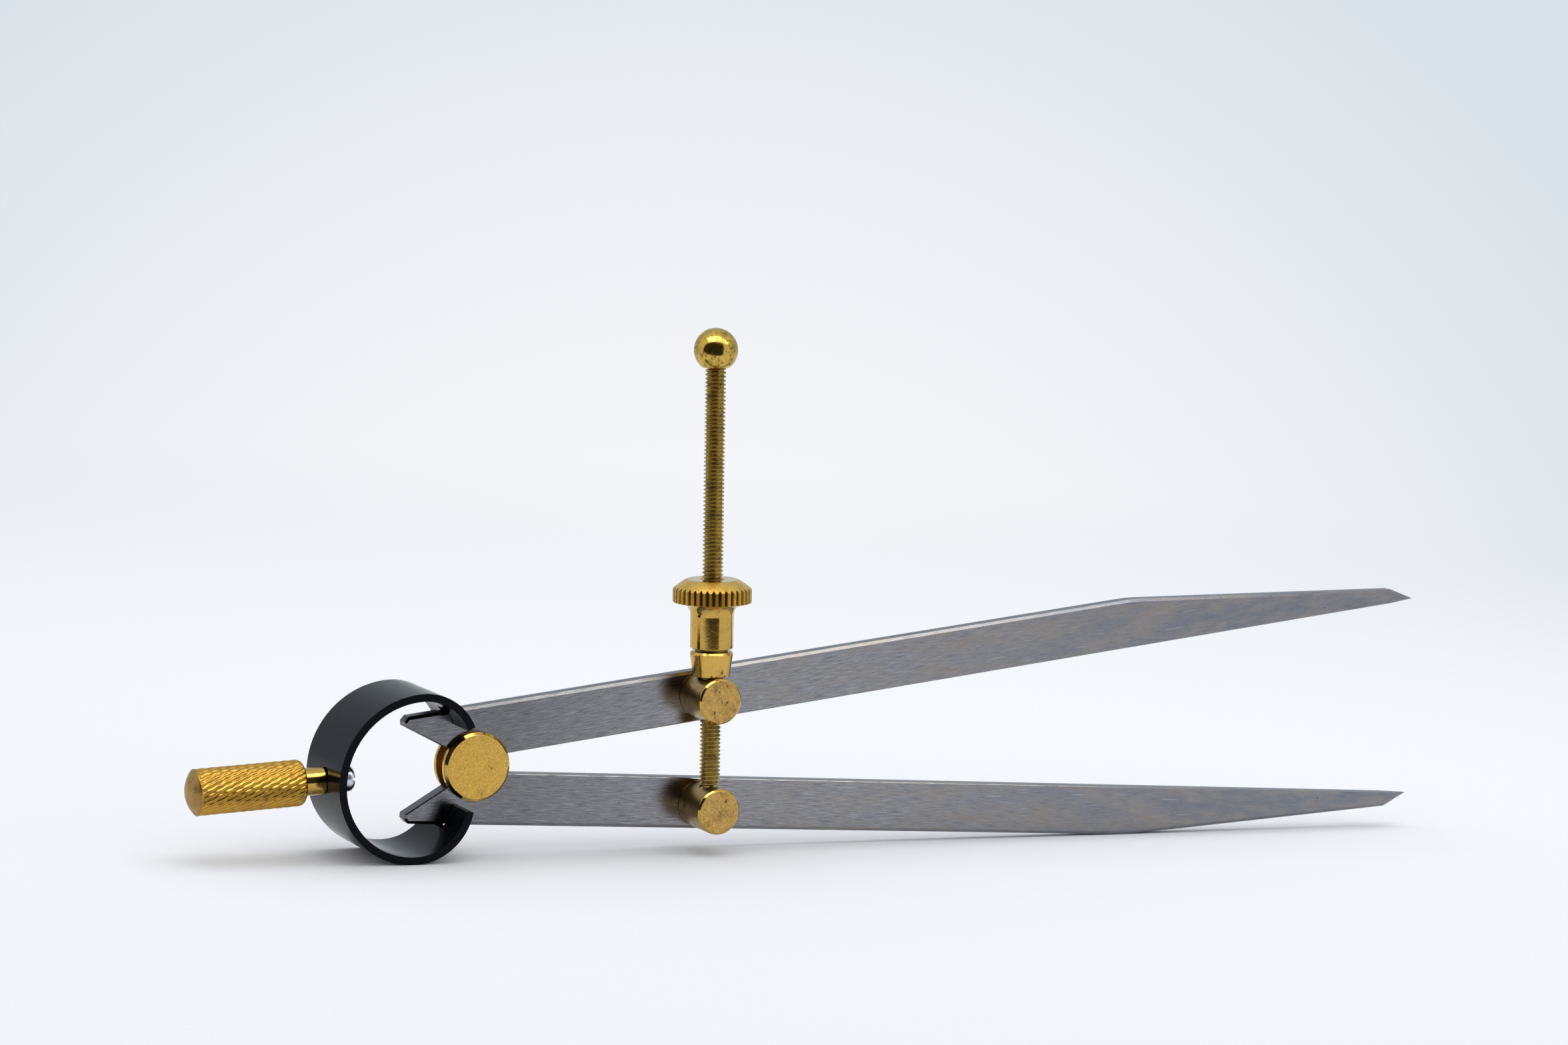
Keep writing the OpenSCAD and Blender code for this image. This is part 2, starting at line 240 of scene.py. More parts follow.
def leg_mesh(name, side):
    """One leg in its own frame, outer edge up with side 1 and down with side -1."""
    bm = bmesh.new()
    points = leg_outline()
    half = [k for k, (p, share) in enumerate(points) if abs(p.x - stud_along) < 0.001][0]
    hole_r = journal_r + journal_gap
    hole_half = hole_facets // 2
    rims = []
    sides = []
    holes = []
    for way in (-1, 1):
        rim = []
        edge = []
        for k, (p, share) in enumerate(points):
            inner = p + drawn_in(points, k)
            drop = chamfer_side * max(share, points[k - 1][1])
            rim.append(bm.verts.new((inner.x, way * leg_thickness / 2, side * inner.y)))
            edge.append(bm.verts.new((p.x, way * (leg_thickness / 2 - drop), side * p.y)))
        hole = []
        for k in range(hole_facets):
            swing = math.pi / 2 - math.pi * k / hole_half
            hole.append(bm.verts.new((stud_along + hole_r * math.cos(swing), way * leg_thickness / 2,
                                      side * (stud_off + hole_r * math.sin(swing)))))
        bm.faces.new(rim[-1:] + rim[:half + 1] + hole[:hole_half + 1])
        bm.faces.new(rim[half:] + hole[hole_half:] + hole[:1])
        rims.append(rim)
        sides.append(edge)
        holes.append(hole)
    for near, off in ((rims[0], sides[0]), sides, (sides[1], rims[1]), holes):
        for k in range(len(near)):
            after = (k + 1) % len(near)
            bm.faces.new((near[k], off[k], off[after], near[after]))
    bmesh.ops.remove_doubles(bm, verts=bm.verts, dist=1e-4)
    thin_from = leg_length - point_length
    everything = bm.verts[:] + bm.edges[:] + bm.faces[:]
    bmesh.ops.bisect_plane(bm, geom=everything, plane_co=(thin_from, 0, 0), plane_no=(1, 0, 0), dist=1e-4)
    for vert in bm.verts:
        share = max(0.0, (vert.co.x - thin_from) / point_length)
        vert.co.y *= 1 - share * (1 - point_thickness / leg_thickness)
    for edge in bm.edges:
        edge.smooth = edge.calc_face_angle(0.0) < edge_turn
    leg = on_bench(as_mesh(bm, name), name)
    break_edges(leg, edge_turn, edge_round, 2)
    mesh = worked(leg)
    along = mesh.uv_layers.new(name="along")
    for loop in mesh.loops:
        x, y, z = mesh.vertices[loop.vertex_index].co
        along.data[loop.index].uv = (x, z * side + y)
    return mesh


def ground_steel(name, dark, light, bright, dull):
    """Tool steel drawn along a belt and gone a little dull: a mid grey metal with drawn marks 0.14 mm
    apart, fainter towards the point, longer slanting scratches, brown and blue clouds a centimetre
    long, a tail painted darker as painted shade and reflection of the black ring, and small rust pits.
    Places on its map are in millimetres."""
    material, tree = blank_material(name)
    bar_map = add(tree, "ShaderNodeUVMap", uv_map="along")
    reach = add(tree, "ShaderNodeSeparateXYZ", [bar_map])
    drawn = add(tree, "ShaderNodeMapping", {"Vector": bar_map, "Rotation": (0, 0, 0.04),
                                            "Scale": (0.32, 7.0, 1.0)})
    marks = add(tree, "ShaderNodeTexNoise", {"Vector": drawn, "Scale": 1.0, "Detail": 5.0,
                                             "Roughness": 0.75})
    slanted = add(tree, "ShaderNodeMapping", {"Vector": bar_map, "Rotation": (0, 0, 0.16),
                                              "Scale": (0.12, 3.1, 1.0)})
    cuts = add(tree, "ShaderNodeTexNoise", {"Vector": slanted, "Scale": 1.0, "Detail": 2.0})
    scratch = add(tree, "ShaderNodeMapRange", [cuts, 0.66, 0.74, 0.0, 0.6])
    broad = add(tree, "ShaderNodeMapping", {"Vector": bar_map, "Scale": (0.09, 0.28, 1.0)})
    cloud = add(tree, "ShaderNodeTexNoise", {"Vector": broad, "Scale": 1.0, "Detail": 6.0,
                                             "Roughness": 0.7})
    browner = add(tree, "ShaderNodeMapRange", [reach, 20.0, 85.0, 0.2, 0.7])
    brown = add(tree, "ShaderNodeMapRange", [cloud, 0.4, 0.7, 0.0, browner])
    bluer = add(tree, "ShaderNodeMapRange", [reach, 80.0, 150.0, 0.15, 0.75])
    blue = add(tree, "ShaderNodeMapRange", [cloud, 0.62, 0.34, 0.0, bluer])
    # Painted shade: darker from 45 mm along towards the tail, standing for the black ring's shade and
    # reflection
    ring_shade = add(tree, "ShaderNodeMapRange", [reach, 5.0, 45.0, 0.4, 0.0])
    cells = add(tree, "ShaderNodeTexVoronoi", {"Vector": bar_map, "Scale": 0.6, "Randomness": 1.0}).outputs
    chosen = add(tree, "ShaderNodeSeparateColor", [cells["Color"]])
    pit_size = add(tree, "ShaderNodeMapRange", [chosen, 0.4, 1.0, 0.0, 0.09])
    pit_edge = add(tree, "ShaderNodeMath", [pit_size, cells["Distance"]], operation="SUBTRACT")
    pits = add(tree, "ShaderNodeMapRange", [pit_edge, 0.0, 0.03, 0.0, 1.0])
    faint = add(tree, "ShaderNodeMapRange", [reach, 50.0, 150.0, 0.0, 0.32])
    strong = add(tree, "ShaderNodeMath", [1.0, faint], operation="SUBTRACT")
    streak = add(tree, "ShaderNodeMapRange", [marks, 0.3, 0.7, faint, strong])
    tone = linear(dark)
    for share, shade in ((streak, light), (brown, "#8c8277"), (blue, "#676c77"), (ring_shade, "#4b4c50"),
                         (scratch, "#b0b0b3"), (pits, "#463f3c")):
        tone = add(tree, "ShaderNodeMix", {0: share, 6: tone, 7: linear(shade)}, data_type="RGBA").outputs[2]
    gloss = add(tree, "ShaderNodeMapRange", [streak, 0.0, 1.0, dull, bright])
    relief = add(tree, "ShaderNodeMath", [marks, pits], operation="SUBTRACT")
    bump = add(tree, "ShaderNodeBump", {"Strength": 0.2, "Distance": 0.00008, "Height": relief})
    shader = add(tree, "ShaderNodeBsdfPrincipled", {"Base Color": tone, "Metallic": 1.0,
                                                    "Roughness": gloss, "Normal": bump})
    add(tree, "ShaderNodeOutputMaterial", [shader])
    return material


# Steel ground bright on the faces, where it mirrors softly; duller edges, painted darker as painted shade
face_steel = ground_steel("ground_tool_steel", "#46484d", "#b7b7ba", 0.07, 0.15)
steel_for_shaded_edges = ground_steel("dull_edge_steel", "#36383d", "#5b5d62", 0.24, 0.36)
for side, name, angle in ((-1, "lower_leg", lower_angle), (1, "upper_leg", upper_angle)):
    bar = leg_mesh(name + "_bar", side)
    # Painted shade: the edge faces take the darker steel, standing for the dark ring and shadowed floor they
    # mirror
    for face in bar.polygons:
        face.material_index = 1 if abs(face.normal.y) < 0.3 else 0
    fit(name + "_bar", bar, about_fulcrum(angle), [face_steel, steel_for_shaded_edges], name, name)


# Fulcrum roller: a spool turned from brass bar. Its flanges hold the two legs between them, and the
# faces were left with a fine blasted grain, while the chamfer and rim came bright from the lathe.
roller_r = 4.0
flange_r = 6.1
flange_front = -2.9
flange_rear = 2.5
flange_chamfer = 0.5
leg_side = 1.45
stand_lean = 2.93


def rounded(corners, steps=4, lip=0.03):
    """Line of [radius, height] points through corners, each eased by its own fillet."""
    line = []
    for k, (radius, height, fillet) in enumerate(corners):
        here = Vector((radius, height))
        if fillet == 0 or k in (0, len(corners) - 1):
            line.append(here)
            continue
        before = (Vector(corners[k - 1][:2]) - here).normalized()
        after = (Vector(corners[k + 1][:2]) - here).normalized()
        half = before.angle(after) / 2
        reach = fillet / math.tan(half)
        centre = here + (before + after).normalized() * fillet / math.sin(half)
        first = here + before * reach - centre
        last = here + after * reach - centre
        line.append(centre + first + before * lip)
        for j in range(steps + 1):
            line.append(centre + first.lerp(last, j / steps).normalized() * fillet)
        line.append(centre + last + after * lip)
    return line


def spin(line, facets, closed=False):
    """Turned shape of a line of [radius, height] points about Z. A closed line makes a ring."""
    bm = bmesh.new()
    rings = []
    for radius, height in line:
        if radius < 1e-6:
            rings.append([bm.verts.new((0, 0, height))] * facets)
            continue
        turns = [2 * math.pi * k / facets for k in range(facets)]
        rings.append([bm.verts.new((radius * math.cos(t), radius * math.sin(t), height)) for t in turns])
    for low, high in zip(rings, rings[1:] + rings[:1] if closed else rings[1:]):
        for k in range(facets):
            after = (k + 1) % facets
            corners = list(dict.fromkeys((low[k], low[after], high[after], high[k])))
            if len(corners) > 2:
                bm.faces.new(corners)
    return bm


def as_turned(mesh, sharp=40):
    """Marks the sharp edges, and notes where each point lies round the axis and along the cut, in mm."""
    mesh.set_sharp_from_angle(angle=math.radians(sharp))
    cut = mesh.attributes.new("turned", "FLOAT_VECTOR", "POINT")
    for k, vert in enumerate(mesh.vertices):
        x, y, z = vert.co
        cut.data[k].vector = (x, y, z - math.hypot(x, y))
    return mesh


def turned_metal(name, colour, dull, spot="#4a3516", gloss=0.3, tarnish=0.4, specks=1.2, spots=0.1,
                 lines=0.1, grain=0.14):
    """Metal worked on the lathe: turning lines 0.14 mm apart that catch the light, dull patches about
    2 mm wide, a grain of 0.3 mm, drawn coarser than the real one so that it shows, and dark stains."""
    material, tree = blank_material(name)
    cut = add(tree, "ShaderNodeAttribute", attribute_name="turned").outputs["Vector"]
    wound = add(tree, "ShaderNodeMapping", {"Vector": cut, "Scale": (0.12, 0.12, 7.0)})
    rings = add(tree, "ShaderNodeTexNoise", {"Vector": wound, "Scale": 1.0, "Detail": 3.0,
                                             "Roughness": 0.65})
    place = add(tree, "ShaderNodeTexCoord").outputs["Object"]
    sized = add(tree, "ShaderNodeMapping", {"Vector": place, "Scale": (1000, 1000, 1000)})
    fine = add(tree, "ShaderNodeTexNoise", {"Vector": sized, "Scale": 3.2, "Detail": 3.0, "Roughness": 0.6})
    patch = add(tree, "ShaderNodeTexNoise", {"Vector": sized, "Scale": 0.5, "Detail": 5.0,
                                             "Roughness": 0.62})
    dulled = add(tree, "ShaderNodeMapRange", [patch, 0.62 - 0.3 * tarnish, 0.78 - 0.2 * tarnish, 0.0, 0.9])
    blots = add(tree, "ShaderNodeTexNoise", {"Vector": sized, "Scale": specks, "Detail": 3.0})
    grouped = add(tree, "ShaderNodeMath", [patch, 0.4, blots], operation="MULTIPLY_ADD")
    speck = add(tree, "ShaderNodeMapRange", [grouped, 0.92 - 0.2 * spots, 1.0 - 0.2 * spots, 0.0, 0.85])
    tone = linear(colour)
    for share, shade in ((dulled, dull), (speck, spot)):
        tone = add(tree, "ShaderNodeMix", {0: share, 6: tone, 7: linear(shade)}, data_type="RGBA").outputs[2]
    grained = add(tree, "ShaderNodeMapRange", [fine, 0.3, 0.7, 1 - grain, 1 + grain])
    lively = add(tree, "ShaderNodeVectorMath", [tone, grained], operation="MULTIPLY")
    rough = add(tree, "ShaderNodeMapRange", [dulled, 0.0, 1.0, gloss, gloss + 0.1])
    rougher = add(tree, "ShaderNodeMath", [speck, 0.2, rough], operation="MULTIPLY_ADD")
    deep = add(tree, "ShaderNodeMath", [rings, lines], operation="MULTIPLY")
    relief = add(tree, "ShaderNodeMath", [fine, grain * 5, deep], operation="MULTIPLY_ADD")
    holes = add(tree, "ShaderNodeMath", [speck, -0.2, relief], operation="MULTIPLY_ADD")
    bump = add(tree, "ShaderNodeBump", {"Strength": 0.35, "Distance": 0.00005, "Height": holes})
    shader = add(tree, "ShaderNodeBsdfPrincipled", {"Base Color": lively, "Metallic": 1.0,
                                                    "Roughness": rougher, "Normal": bump})
    add(tree, "ShaderNodeOutputMaterial", [shader])
    return material


# Brass as it leaves the tool, smooth enough to mirror the room, and brass with a blasted, even grain
bright_brass = turned_metal("turned_brass", "#c5a050", "#ab8849", gloss=0.11, tarnish=0.3, specks=0.9,
                            spots=0.14, lines=0.12, grain=0.08)
grained_brass = turned_metal("blasted_brass", "#d9b055", "#c49c4d", "#6d5428", gloss=0.34, tarnish=0.2,
                             specks=2.2, spots=0.14, lines=0.2, grain=0.24)

roller = spin(rounded([
    (0, flange_front, 0), (flange_r - flange_chamfer, flange_front, 0.12),
    (flange_r, flange_front + flange_chamfer, 0.15), (flange_r, -leg_side, 0.08), (roller_r, -leg_side, 0),
    (roller_r, leg_side, 0), (flange_r, leg_side, 0.1), (flange_r, flange_rear, 0.2),
    (0, flange_rear, 0)]), 120)
roller_mesh = as_turned(as_mesh(roller, "fulcrum_spool"))
for face in roller_mesh.polygons:
    out = math.hypot(face.center.x, face.center.y)
    on_face = out < flange_r - flange_chamfer - 0.05 and abs(face.center.z) > leg_side
    face.material_index = 1 if on_face else 0
upright = Matrix.Rotation(-math.pi / 2, 4, "X")
fit("fulcrum_spool", roller_mesh, about_fulcrum(stand_lean) @ upright, [bright_brass, grained_brass],
    "fulcrum_roller", "roller")


# Bow spring: one strip of spring steel bent to a ring, black oxidised and oiled, with its edges
# broken. Both ends are forked to straddle the legs, and they bear in the notches of the tails.
# An arc of its inner face is [centre along, centre up, radius], and a span adds angles and steps.
band_thickness = 1.35
band_width = 16.4
band_edge = 0.45
slot_half = 1.65
slot_root = 11.0
bow_angle = 4.1
upper_back = (-11.92, -0.72, 14.0)
upper_arm = (-11.92, 4.63, 8.65)
lower_back = (-13.22, -0.72, 12.7)
lower_arm = (-13.22, -4.32, 9.1)


def block(size, centre):
    """A box in millimetres."""
    bm = bmesh.new()
    bmesh.ops.create_cube(bm, size=1.0)
    bmesh.ops.scale(bm, vec=size, verts=bm.verts)
    bmesh.ops.translate(bm, vec=centre, verts=bm.verts)
    return bm


def cut_away(obj, tool, name):
    """Cuts a tool's shape out of a working object."""
    cut = obj.modifiers.new(name, "BOOLEAN")
    cut.object = on_bench(as_mesh(tool, name), name)
    cut.solver = "EXACT"


spans = [(upper_arm, 20, 90, 44), (upper_back, 90, 180, 60), (lower_back, 180, 270, 56),
         (lower_arm, 270, 347, 46)]
stations = [spans[0][:2]]
for arc, first, last, steps in spans:
    stations += [(arc, first + (last - first) * (k + 1) / steps) for k in range(steps)]
bm = bmesh.new()
rings = []
for arc, angle in stations:
    ring = []
    for depth, y in ((0, -0.5), (0, 0.5), (band_thickness, 0.5), (band_thickness, -0.5)):
        x = arc[0] + (arc[2] + depth) * math.cos(math.radians(angle))
        z = arc[1] + (arc[2] + depth) * math.sin(math.radians(angle))
        ring.append(bm.verts.new((x, y * band_width, z)))
    rings.append(ring)
bm.faces.new(rings[0])
bm.faces.new(rings[-1])
for here, there in zip(rings, rings[1:]):
    for k in range(4):
        bm.faces.new((here[k], here[(k + 1) % 4], there[(k + 1) % 4], there[k]))
strip = on_bench(as_mesh(bm, "bow_strip"), "bow_strip")
for side, angle in ((1, upper_angle), (-1, lower_angle)):
    slot = block((2 * tail_length, 2 * slot_half, slot_root), (0, 0, side * slot_root / 2))
    lean = Matrix.Rotation(math.radians(bow_angle - angle), 3, "Y")
    bmesh.ops.rotate(slot, matrix=lean, verts=slot.verts)
    cut_away(strip, slot, "fork slot")
break_edges(strip, math.radians(50), band_edge, 4)

# Black oxide on spring steel: a near-black blue-grey film, thin and oily, so that it takes satin
# reflections from the floor and has fine pale dust and small dark flecks.
black_oxide, tree = blank_material("black_oxide_spring_steel")
place = add(tree, "ShaderNodeTexCoord").outputs["Object"]
sized = add(tree, "ShaderNodeMapping", {"Vector": place, "Scale": (1000, 1000, 1000)})
mottle = add(tree, "ShaderNodeTexNoise", {"Vector": sized, "Scale": 0.35, "Detail": 5.0, "Roughness": 0.6})
dust = add(tree, "ShaderNodeTexNoise", {"Vector": sized, "Scale": 3.5, "Detail": 2.0, "Roughness": 0.5})
cells = add(tree, "ShaderNodeTexVoronoi", {"Vector": sized, "Scale": 0.8, "Randomness": 1.0}).outputs
chosen = add(tree, "ShaderNodeSeparateColor", [cells["Color"]])
fleck_size = add(tree, "ShaderNodeMapRange", [chosen, 0.7, 1.0, 0.0, 0.14])
fleck_edge = add(tree, "ShaderNodeMath", [fleck_size, cells["Distance"]], operation="SUBTRACT")
fleck = add(tree, "ShaderNodeMapRange", [fleck_edge, 0.0, 0.05, 0.0, 0.7])
dusty = add(tree, "ShaderNodeMapRange", [dust, 0.56, 0.75, 0.0, 0.8])
film = linear("#06080c")
for share, shade in ((mottle, "#0b0e13"), (dusty, "#1d2126"), (fleck, "#020203")):
    film = add(tree, "ShaderNodeMix", {0: share, 6: film, 7: linear(shade)}, data_type="RGBA").outputs[2]
satin = add(tree, "ShaderNodeMapRange", [mottle, 0.3, 0.7, 0.13, 0.2])
relief = add(tree, "ShaderNodeMath", [dust, fleck], operation="SUBTRACT")
bump = add(tree, "ShaderNodeBump", {"Strength": 0.05, "Distance": 0.00003, "Height": relief})
oxide = add(tree, "ShaderNodeBsdfPrincipled", {"Base Color": film, "Metallic": 0.0, "Roughness": satin,
                                               "Specular IOR Level": 0.06, "Normal": bump})
add(tree, "ShaderNodeOutputMaterial", [oxide])
fit("bow_strip", worked(strip), about_fulcrum(bow_angle), [black_oxide], "bow_spring", "bow")


# Handle: a brass grip turned in one with its neck, knurled by a steep deep wheel and a shallow one
# across it, and left plain on its domed end. A screw from inside the bow draws the neck against the
# strip. Heights run from the dome towards the bow.
grip_r = 3.98
grip_end = -51.4
grip_length = 20.35
dome_height = 1.55
dome_steps = 14
grip_round = 0.9
round_steps = 8
neck_r = 2.4
neck_end = -27.29
bore_r = 1.3
bore_depth = 9
handle_drop = 0.3
knurl_starts = 28
knurl_lead = 2.1
knurl_depth = 0.21
cross_lead = 6.7
cross_depth = 0.045
knurl_rows = 90
row_gap = 0.03
facets_per_start = 12
knurl_low = dome_height + 0.1
knurl_high = grip_length - 0.35
neck_from = grip_length - 0.2
dome_r = (grip_r ** 2 + dome_height ** 2) / (2 * dome_height)
handle_length = neck_end - grip_end

handle_line = [Vector((0, 0))]
for k in range(1, dome_steps + 1):
    swing = math.asin(grip_r / dome_r) * k / dome_steps
    handle_line.append(Vector((dome_r * math.sin(swing), dome_r * (1 - math.cos(swing)))))
straight = grip_length - grip_round - dome_height - 2 * row_gap
for k in range(knurl_rows + 1):
    handle_line.append(Vector((grip_r, dome_height + row_gap + straight * k / knurl_rows)))
for k in range(round_steps + 1):
    swing = math.pi / 2 * k / round_steps
    handle_line.append(Vector((grip_r - grip_round * (1 - math.cos(swing)),
                               grip_length - grip_round * (1 - math.sin(swing)))))
handle_line += rounded([(grip_r - grip_round, grip_length, 0), (neck_r, grip_length, 0.12),
                        (neck_r, handle_length, 0.1), (bore_r, handle_length, 0)])[1:]
handle_line += [Vector((bore_r, handle_length - bore_depth)), Vector((0, handle_length - bore_depth))]
grip_shape = spin(handle_line, knurl_starts * facets_per_start)
grip = on_bench(as_mesh(grip_shape, "knurled_handle"), "knurled_handle")


def piece_tree(name, labels, kind="NodeSocketFloat"):
    """A new node tree for a piece's mesh, with sizes as named inputs, and what is given to it."""
    tree = bpy.data.node_groups.new(name, "GeometryNodeTree")
    sizes = [(label, kind) for label in labels]
    for label, socket in (("Geometry", "NodeSocketGeometry"), *sizes, ("Material", "NodeSocketMaterial")):
        tree.interface.new_socket(label, in_out="INPUT", socket_type=socket)
    tree.interface.new_socket("Geometry", in_out="OUTPUT", socket_type="NodeSocketGeometry")
    return tree, add(tree, "NodeGroupInput").outputs


def end_tree(tree, shape, given):
    """Ends a tree with its copies made real and its material set."""
    made = add(tree, "GeometryNodeRealizeInstances", [shape])
    coated = add(tree, "GeometryNodeSetMaterial", {"Geometry": made, "Material": given["Material"]})
    add(tree, "NodeGroupOutput", [coated])


def run_nodes(obj, tree, **values):
    """Runs a node tree on a working object, with its named inputs set, and returns the plain mesh."""
    modifier = obj.modifiers.new(tree.name, "NODES")
    modifier.node_group = tree
    for item in tree.interface.items_tree:
        key = item.name.replace(" ", "_").lower()
        if item.in_out == "INPUT" and key in values:
            modifier[item.identifier] = values[key]
    return worked(obj)


knurl, given = piece_tree("crossed knurl", ("Starts", "Lead", "Depth", "Cross Lead", "Cross Depth",
                                            "Knurl From", "Knurl To", "Radius"))
spot = add(knurl, "ShaderNodeSeparateXYZ", [add(knurl, "GeometryNodeInputPosition")]).outputs
swung = add(knurl, "ShaderNodeMath", [spot[1], spot[0]], operation="ARCTAN2")
whole = add(knurl, "ShaderNodeMath", [swung, 2 * math.pi], operation="DIVIDE")
round_count = add(knurl, "ShaderNodeMath", [whole, given["Starts"]], operation="MULTIPLY")
cuts = []
for way, lead, depth in (("ADD", "Lead", "Depth"), ("SUBTRACT", "Cross Lead", "Cross Depth")):
    along_count = add(knurl, "ShaderNodeMath", [spot[2], given[lead]], operation="DIVIDE")
    phase = add(knurl, "ShaderNodeMath", [round_count, along_count], operation=way)
    wave = add(knurl, "ShaderNodeMath", [phase, 0.5], operation="PINGPONG")
    groove = add(knurl, "ShaderNodeMapRange", [wave, 0.0, 0.5, 1.0, 0.0], interpolation_type="SMOOTHSTEP")
    cuts.append(add(knurl, "ShaderNodeMath", [groove, given[depth]], operation="MULTIPLY"))
cut = add(knurl, "ShaderNodeMath", [cuts[0], cuts[1]], operation="ADD")
after = add(knurl, "ShaderNodeMath", [spot[2], given["Knurl From"]], operation="SUBTRACT")
ahead = add(knurl, "ShaderNodeMath", [given["Knurl To"], spot[2]], operation="SUBTRACT")
inside = add(knurl, "ShaderNodeMath", [after, ahead], operation="MINIMUM")
fade = add(knurl, "ShaderNodeMapRange", [inside, 0.0, 0.25, 0.0, 1.0])
taken = add(knurl, "ShaderNodeMath", [cut, fade], operation="MULTIPLY")
share = add(knurl, "ShaderNodeMath", [taken, given["Radius"]], operation="DIVIDE")
inward = add(knurl, "ShaderNodeMath", [share, -1.0], operation="MULTIPLY")
flat = add(knurl, "ShaderNodeCombineXYZ", [spot[0], spot[1], 0.0])
offset = add(knurl, "ShaderNodeVectorMath", {0: flat, "Scale": inward}, operation="SCALE")
pressed = add(knurl, "GeometryNodeSetPosition", {"Geometry": given["Geometry"], "Offset": offset})
end_tree(knurl, pressed, given)

# Knurled brass, warm and soft in its lights, and the dome's satin brass, rubbed dull by hands
grip_brass = turned_metal("knurled_brass", "#c2983f", "#a37d39", gloss=0.32, grain=0.06)
satin_brass = turned_metal("satin_brass", "#a5854c", "#8b6d3e", gloss=0.38, lines=0.15)

grip_mesh = run_nodes(grip, knurl, starts=float(knurl_starts), lead=knurl_lead, depth=knurl_depth,
                      cross_lead=cross_lead, cross_depth=cross_depth, knurl_from=knurl_low,
                      knurl_to=knurl_high, radius=grip_r, material=grip_brass)
as_turned(grip_mesh, 60)
for face in grip_mesh.polygons:
    face.material_index = 2 if face.center.z < dome_height else 0 if face.center.z < neck_from else 1
lying = Matrix.Rotation(math.pi / 2, 4, "Y")


def along_bow(start):
    """Place of a part on the handle's axis, Z towards the bow's opening, in millimetres."""
    return about_fulcrum(bow_angle) @ Matrix.Translation((start, 0, -handle_drop)) @ lying


fit("knurled_handle", grip_mesh, along_bow(grip_end), [grip_brass, bright_brass, satin_brass], "handle",
    "bow")


# Handle screw and washer: a zinc plated pan-head screw with a straight slot, driven from inside the
# bow into the grip, over a stamped washer.
washer_from = -25.59
washer_to = -24.79
head_from = -24.77
head_r = 2.3
head_height = 2.9
head_dome = 1.05
driver_width = 0.7
driver_depth = 0.8
shank_r = 1.25
shank_end = -36.27
washer_bore = shank_r + 0.05
washer_r = head_r + 0.15

# Bright zinc plate: a pale bluish metal, satin, with cloudy white bloom about a millimetre wide.
zinc, tree = blank_material("bright_zinc_plate")
place = add(tree, "ShaderNodeTexCoord").outputs["Object"]
sized = add(tree, "ShaderNodeMapping", {"Vector": place, "Scale": (1000, 1000, 1000)})
bloom = add(tree, "ShaderNodeTexNoise", {"Vector": sized, "Scale": 1.1, "Detail": 4.0, "Roughness": 0.6})
plate = add(tree, "ShaderNodeMix", {0: bloom, 6: linear("#c4cad2"), 7: linear("#e0e3e7")},
            data_type="RGBA").outputs[2]
cloudy = add(tree, "ShaderNodeMapRange", [bloom, 0.3, 0.7, 0.18, 0.34])
bump = add(tree, "ShaderNodeBump", {"Strength": 0.1, "Distance": 0.00004, "Height": bloom})
plated = add(tree, "ShaderNodeBsdfPrincipled", {"Base Color": plate, "Metallic": 1.0, "Roughness": cloudy,
                                                "Normal": bump})
add(tree, "ShaderNodeOutputMaterial", [plated])

shank_low = shank_end - head_from
screw_line = rounded([(0, shank_low, 0), (shank_r - 0.3, shank_low, 0), (shank_r, shank_low + 0.4, 0),
                      (shank_r, 0, 0), (head_r, 0, 0.12), (head_r, head_height, head_dome),
                      (0, head_height, 0)], steps=8)
head = on_bench(as_turned(as_mesh(spin(screw_line, 64), "handle_screw_zinc")), "handle_screw_zinc")
cut_away(head, block((driver_width, 3 * head_r, 2 * driver_depth), (0, 0, head_height)), "driver slot")
fit("handle_screw_zinc", worked(head), along_bow(head_from), [zinc], "handle_screw", "bow")
washer_high = washer_to - washer_from
washer_line = rounded([(washer_bore, 0, 0), (washer_r, 0, 0.12), (washer_r, washer_high, 0.12),
                       (washer_bore, washer_high, 0)])
washer_mesh = as_turned(as_mesh(spin(washer_line, 64, True), "handle_washer_zinc"))
fit("handle_washer_zinc", washer_mesh, along_bow(washer_from), [zinc], "handle_washer", "bow")


# Swivel studs: brass heads turned with a polished chamfer and a faced end, pushed through the legs
# and peened over steel washers behind. The upper one is drilled through for the screw.
stud_r = 4.08
stud_front = -9.85
stud_back = -1.45
stud_rear = 2.15
stud_chamfer_in = 0.32
stud_chamfer_back = 0.36
face_r = stud_r - 0.36
face_back = stud_front + 0.2
side_from = stud_front + 0.7
peen_r = 2.8
peen_taper = 0.4
peen_height = 0.8
ring_over = 0.5
ring_thickness = 0.6
screw_front = -5.64
screw_hole_r = 2.3
spigot_r = 1.8
spigot_depth = 2.8
spigot_gap = 0.02

# Faced brass, dull and brown-stained, rubbed brass on the sides, and a plain grey steel washer
faced_brass = turned_metal("faced_brass", "#bf9a57", "#987946", "#33230e", gloss=0.32, tarnish=0.42,
                           specks=0.9, spots=0.35, lines=0.3, grain=0.3)
stud_brass = turned_metal("rubbed_brass", "#a0844a", "#7d683e", "#3f2c12", tarnish=0.5, specks=1.0,
                          spots=0.15, lines=0.2, grain=0.12)
steel_washer = turned_metal("mild_steel_washer", "#8b8d91", "#6f6c69", "#4a413b", gloss=0.34, specks=1.0,
                            spots=0.3, lines=0.6, grain=0.06)


def at_stud(side):
    """Place of a stud on its leg, Z along the adjusting screw, in millimetres."""
    angle = upper_angle if side > 0 else lower_angle
    back = Matrix.Rotation(math.radians(angle - stand_lean), 4, "Y")
    return about_fulcrum(angle) @ Matrix.Translation((stud_along, 0, side * stud_off)) @ back


